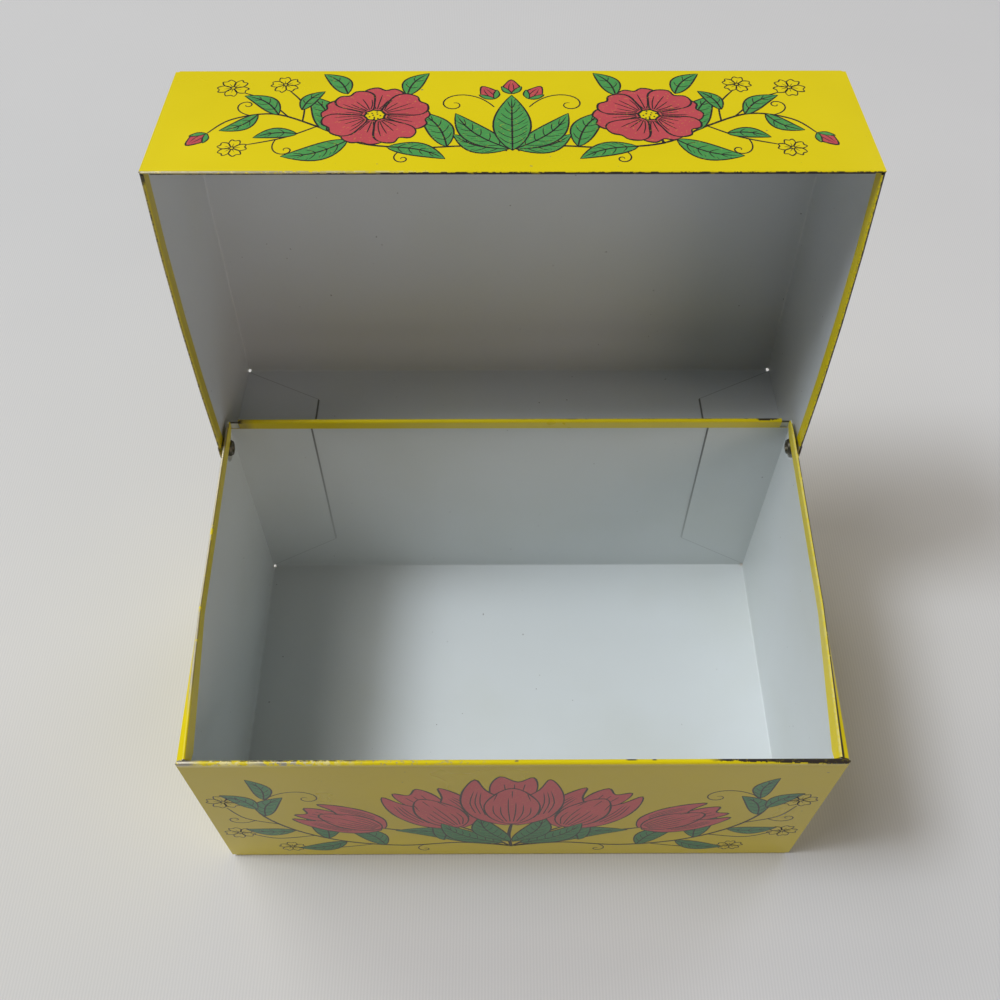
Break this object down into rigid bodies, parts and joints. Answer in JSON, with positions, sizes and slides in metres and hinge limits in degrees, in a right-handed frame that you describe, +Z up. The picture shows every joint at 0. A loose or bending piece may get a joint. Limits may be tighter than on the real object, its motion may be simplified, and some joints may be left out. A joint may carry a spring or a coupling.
{
  "type": "recipe card box",
  "caption": "Lidded tinplate box for index cards, shown open: folded base with a rising rim, deep lid hinged on a pair of tubular rivets.",
  "frame": {"origin": "centre of the base's flat underside, on the table", "axes": "+Z up, +X along the long side to the right as seen from the front, -Y towards the front; the lid is stored open behind the base"},
  "size_m": [0.1402, 0.119, 0.1418],
  "materials": {
    "base_tinplate": "gloss",
    "lid_tinplate": "gloss",
    "rivet_steel": "satin"
  },
  "bodies": {
    "base_body": {"base": "base_tinplate", "rivet_left": "rivet_steel", "rivet_right": "rivet_steel"},
    "lid_body": {"lid": "lid_tinplate"}
  },
  "joints": [
    {"name": "lid_hinge", "type": "hinge", "parent": "base_body", "child": "lid_body", "pos_m": [0, 0.03698, 0.06198], "axis": [1, 0, 0], "range_deg": [0, 95]}
  ]
}
